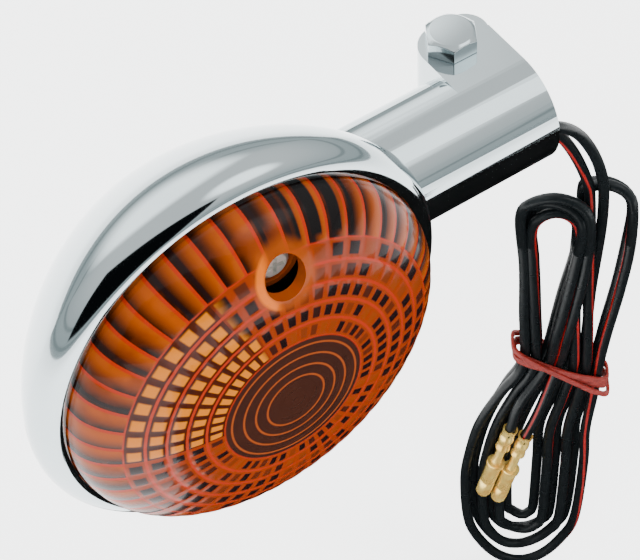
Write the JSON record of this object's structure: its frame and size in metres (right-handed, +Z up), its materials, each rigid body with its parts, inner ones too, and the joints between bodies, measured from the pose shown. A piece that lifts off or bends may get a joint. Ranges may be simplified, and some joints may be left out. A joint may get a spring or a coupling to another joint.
{
  "type": "turn signal indicator",
  "caption": "Round chrome motorcycle turn signal with a domed amber lens, a stem with a pinch clamp, and two leads tied in a hank.",
  "frame": {"origin": "centre of the clamp bore at its mouth, on the end face of the stem", "axes": "+X out of the clamp mouth along the stem, -Y the way the lens faces, +Z up along the pinch bolt towards its head"},
  "size_m": [0.1582, 0.0567, 0.235],
  "materials": {
    "bowl_chrome": "mirror-polished plating",
    "stem_chrome": "mirror-polished plating",
    "bolt_chrome": "bright plating over the tool marks of a hexagon head",
    "zinc_steel": "zinc-plated steel",
    "spring_steel": "bright spring wire",
    "black_rubber": "matte moulded rubber",
    "reflector_silver": "bright pressed sheet",
    "amber_lens": "glossy clear amber acrylic with moulded flutes",
    "brown_fibre": "pressed fibre board",
    "brass": "bright brass",
    "clear_glass": "clear blown glass",
    "solder": "dull solder",
    "tungsten": "coiled tungsten wire",
    "black_insulation": "soft glossy insulation",
    "tracer_insulation": "soft glossy black insulation with a red tracer stripe",
    "red_rubber": "thin natural rubber band"
  },
  "bodies": {
    "root": {"bowl": "bowl_chrome", "stem": "stem_chrome", "stem_screws": "zinc_steel", "stem_grommet": "black_rubber", "reflector": "reflector_silver", "reflector_screws": "zinc_steel", "lens_gasket": "black_rubber", "socket_shell": "zinc_steel", "socket_insulator": "brown_fibre", "socket_rivets": "zinc_steel", "live_terminal": "brass", "contact_spring": "spring_steel", "inner_lead_black": "black_insulation", "inner_lead_tracer": "tracer_insulation", "lead_black": "black_insulation", "lead_tracer": "tracer_insulation", "wire_hank": "black_insulation", "hank_band": "red_rubber", "bullet_black": "brass", "bullet_tracer": "brass"},
    "lens_unit": {"lens": "amber_lens"},
    "lens_fastener": {"lens_screw": "zinc_steel"},
    "plunger": {"contact_plate": "brown_fibre", "contact_button": "brass"},
    "bulb": {"bulb_glass": "clear_glass", "bulb_base": "brass", "bulb_pip": "solder", "bulb_stem": "clear_glass", "bulb_filament": "tungsten"},
    "bolt": {"pinch_bolt": "bolt_chrome"}
  },
  "joints": [
    {"name": "lens_off", "type": "slide", "parent": "root", "child": "lens_unit", "axis": [0, -1, 0], "range_m": [0, 0.045]},
    {"name": "lens_screw_turn", "type": "hinge", "parent": "lens_unit", "child": "lens_fastener", "pos_m": [-0.07821, -0.02, 0.02993], "axis": [0, -1, 0], "continuous": true},
    {"name": "bulb_push", "type": "slide", "parent": "root", "child": "plunger", "axis": [0, 1, 0], "range_m": [0, 0.0023], "stiffness_N_per_m": 600, "springref_m": -0.004, "deforming": ["contact_spring"]},
    {"name": "bulb_turn", "type": "hinge", "parent": "plunger", "child": "bulb", "pos_m": [-0.0803, 0, 0], "axis": [0, -1, 0], "range_deg": [0, 28]},
    {"name": "pinch_bolt_turn", "type": "hinge", "parent": "root", "child": "bolt", "pos_m": [-0.0095, 0.0119, 0], "axis": [0, 0, 1], "continuous": true}
  ]
}
